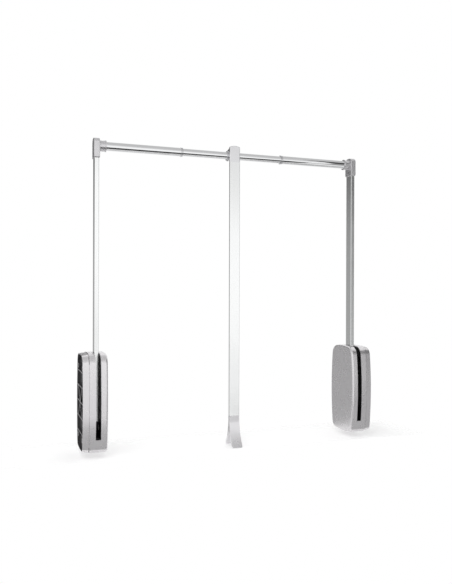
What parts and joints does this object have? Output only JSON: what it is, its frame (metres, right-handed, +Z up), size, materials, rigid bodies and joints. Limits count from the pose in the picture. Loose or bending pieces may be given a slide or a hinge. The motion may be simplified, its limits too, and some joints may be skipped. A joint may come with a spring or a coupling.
{
  "type": "pull down closet rod",
  "caption": "Telescopic closet rod on sprung arms that pivot in side-mounted housings, swinging forward and down with a long pull handle.",
  "frame": {"origin": "centre of the left unit's rectangle of wall-screw holes, on the face that stands against the wardrobe's side", "axes": "+X from the left unit to the right one along the rod, +Y to the wardrobe's back, +Z up"},
  "size_m": [0.883, 0.136, 0.8795],
  "materials": {
    "silver_plastic": "moulded ABS, silver-grey metallic, fine grain",
    "black_nylon": "moulded glass-filled nylon, black",
    "white_plastic": "natural acetal",
    "grey_plastic": "moulded, grey",
    "grip_plastic": "moulded ABS, silver-grey metallic",
    "anodised_aluminium": "satin anodised extrusion",
    "cast_zinc": "die cast, silver-grey powder coat",
    "chromed_steel": "bright chrome",
    "bright_steel": "drawn or turned, oiled",
    "zinc_steel": "zinc plated",
    "rubber": "moulded rubber"
  },
  "bodies": {
    "left_unit": {"left_back_shell": "silver_plastic", "left_front_cover": "silver_plastic", "left_chassis": "black_nylon", "left_chassis_screws": "zinc_steel", "left_stop_bumpers": "rubber", "left_pivot_bushes": "white_plastic", "left_spring_guide": "bright_steel", "left_damper_cylinder": "black_nylon"},
    "left_rack": {"left_rack": "bright_steel", "left_damper_rod": "bright_steel", "left_lift_spring": "bright_steel"},
    "left_arm": {"left_pivot_shaft": "bright_steel", "left_shaft_clips": "bright_steel", "left_pinion": "bright_steel", "left_arm_foot": "cast_zinc", "left_arm": "anodised_aluminium", "left_arm_rivets": "zinc_steel", "left_corner_connector": "cast_zinc", "left_collar_screw": "zinc_steel", "left_tube_collar": "cast_zinc", "left_outer_tube": "chromed_steel", "left_guide_ring": "grey_plastic"},
    "centre_tube": {"inner_tube": "chromed_steel", "tube_glides": "white_plastic"},
    "pull_handle": {"handle_head": "cast_zinc", "handle_bush": "grey_plastic", "handle_bar": "anodised_aluminium", "handle_screws": "zinc_steel", "handle_grip": "grip_plastic"},
    "right_arm": {"right_pivot_shaft": "bright_steel", "right_shaft_clips": "bright_steel", "right_pinion": "bright_steel", "right_arm_foot": "cast_zinc", "right_arm": "anodised_aluminium", "right_arm_rivets": "zinc_steel", "right_corner_connector": "cast_zinc", "right_collar_screw": "zinc_steel", "right_tube_collar": "cast_zinc", "right_outer_tube": "chromed_steel", "right_guide_ring": "grey_plastic"},
    "right_unit": {"right_back_shell": "silver_plastic", "right_front_cover": "silver_plastic", "right_chassis": "black_nylon", "right_chassis_screws": "zinc_steel", "right_stop_bumpers": "rubber", "right_pivot_bushes": "white_plastic", "right_spring_guide": "bright_steel", "right_damper_cylinder": "black_nylon"},
    "right_rack": {"right_rack": "bright_steel", "right_damper_rod": "bright_steel", "right_lift_spring": "bright_steel"}
  },
  "joints": [
    {"name": "left_arm_hinge", "type": "hinge", "parent": "left_unit", "child": "left_arm", "pos_m": [0.0415, 0, -0.07], "axis": [1, 0, 0], "range_deg": [0, 98], "stiffness_Nm_per_rad": 14, "springref_deg": -20.05},
    {"name": "left_rack_slide", "type": "slide", "parent": "left_unit", "child": "left_rack", "axis": [0, 0, 1], "range_m": [0, 0.0257], "deforming": ["left_lift_spring"]},
    {"name": "left_tube_slide", "type": "slide", "parent": "left_arm", "child": "centre_tube", "axis": [1, 0, 0], "range_m": [-0.027, 0.133]},
    {"name": "handle_swing", "type": "hinge", "parent": "centre_tube", "child": "pull_handle", "pos_m": [0.4415, 0, 0.705], "axis": [1, 0, 0], "continuous": true},
    {"name": "right_tube_slide", "type": "slide", "parent": "centre_tube", "child": "right_arm", "axis": [1, 0, 0], "range_m": [-0.027, 0.133]},
    {"name": "right_arm_hinge", "type": "hinge", "parent": "right_arm", "child": "right_unit", "pos_m": [0.8415, 0, -0.07], "axis": [1, 0, 0], "range_deg": [-98, 0]},
    {"name": "right_rack_slide", "type": "slide", "parent": "right_unit", "child": "right_rack", "axis": [0, 0, 1], "range_m": [0, 0.0257], "deforming": ["right_lift_spring"]}
  ],
  "couplings": [
    {"joint": "left_rack_slide", "follows": "left_arm_hinge", "m_per_rad": 0.015},
    {"joint": "right_arm_hinge", "follows": "left_arm_hinge", "ratio": -1},
    {"joint": "right_rack_slide", "follows": "left_arm_hinge", "m_per_rad": 0.015}
  ]
}
